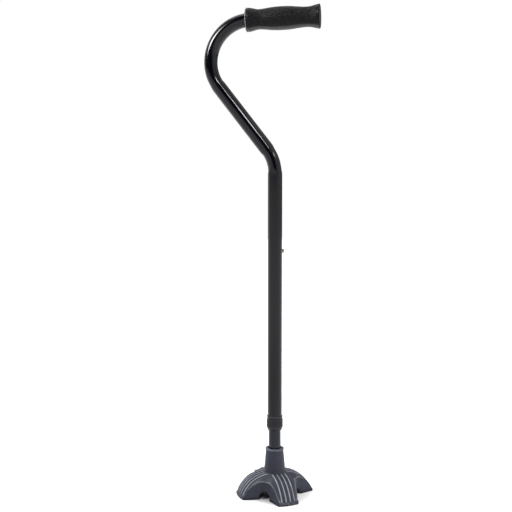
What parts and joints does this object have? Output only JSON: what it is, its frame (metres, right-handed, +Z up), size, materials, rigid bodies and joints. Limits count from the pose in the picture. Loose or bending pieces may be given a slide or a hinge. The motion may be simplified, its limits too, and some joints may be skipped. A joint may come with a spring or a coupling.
{
  "type": "quad walking cane",
  "caption": "Height-adjustable offset walking cane with a swan-neck handle, moulded grip, lock collar and a four-footed rubber tip.",
  "frame": {"origin": "on the axis of the vertical shaft, at the floor that the four feet stand on", "axes": "+Z up along the shaft; the handle's bends and grip lie in the XZ plane, and +X points from the shaft towards the grip's closed end; the row of height holes faces +X"},
  "size_m": [0.1811, 0.117, 0.7511],
  "materials": {
    "handle_tube": "black gloss coat on aluminium tube",
    "shaft_tube": "black satin coat on aluminium tube",
    "grip": "pebbled soft black moulded rubber",
    "collar_plastic": "black moulded nylon, satin",
    "tip_rubber": "dark blue-grey moulded rubber, matte, ribbed",
    "button_metal": "plain drawn steel, slightly tarnished",
    "spring_steel": "spring steel strip",
    "washer_steel": "zinc plated steel disc",
    "ring_plastic": "natural acetal",
    "plug_plastic": "black moulded plastic"
  },
  "bodies": {
    "base": {"quad_tip": "tip_rubber", "tip_washer": "washer_steel", "shaft_tube": "shaft_tube", "button_spring": "spring_steel"},
    "handle": {"handle_tube": "handle_tube", "grip": "grip", "tube_end_plug": "plug_plastic", "collar_sleeve": "collar_plastic"},
    "ring": {"compression_ring": "ring_plastic"},
    "collar": {"lock_collar": "collar_plastic"},
    "button": {"snap_button": "button_metal"}
  },
  "joints": [
    {"name": "height_slide", "type": "slide", "parent": "base", "child": "handle", "axis": [0, 0, 1], "range_m": [0, 0.2286], "deforming": ["snap_button", "button_spring"]},
    {"name": "collar_travel", "type": "slide", "parent": "handle", "child": "ring", "axis": [0, 0, -1], "range_m": [0, 0.002]},
    {"name": "collar_turn", "type": "hinge", "parent": "ring", "child": "collar", "pos_m": [0, 0, 0.11], "axis": [0, 0, -1], "range_deg": [0, 360]},
    {"name": "button_press", "type": "slide", "parent": "base", "child": "button", "axis": [-1, 0, 0], "range_m": [0, 0.0048], "stiffness_N_per_m": 2800, "springref_m": -0.001, "deforming": ["button_spring"]}
  ],
  "couplings": [
    {"joint": "collar_travel", "follows": "collar_turn", "m_per_rad": 0.000318}
  ]
}
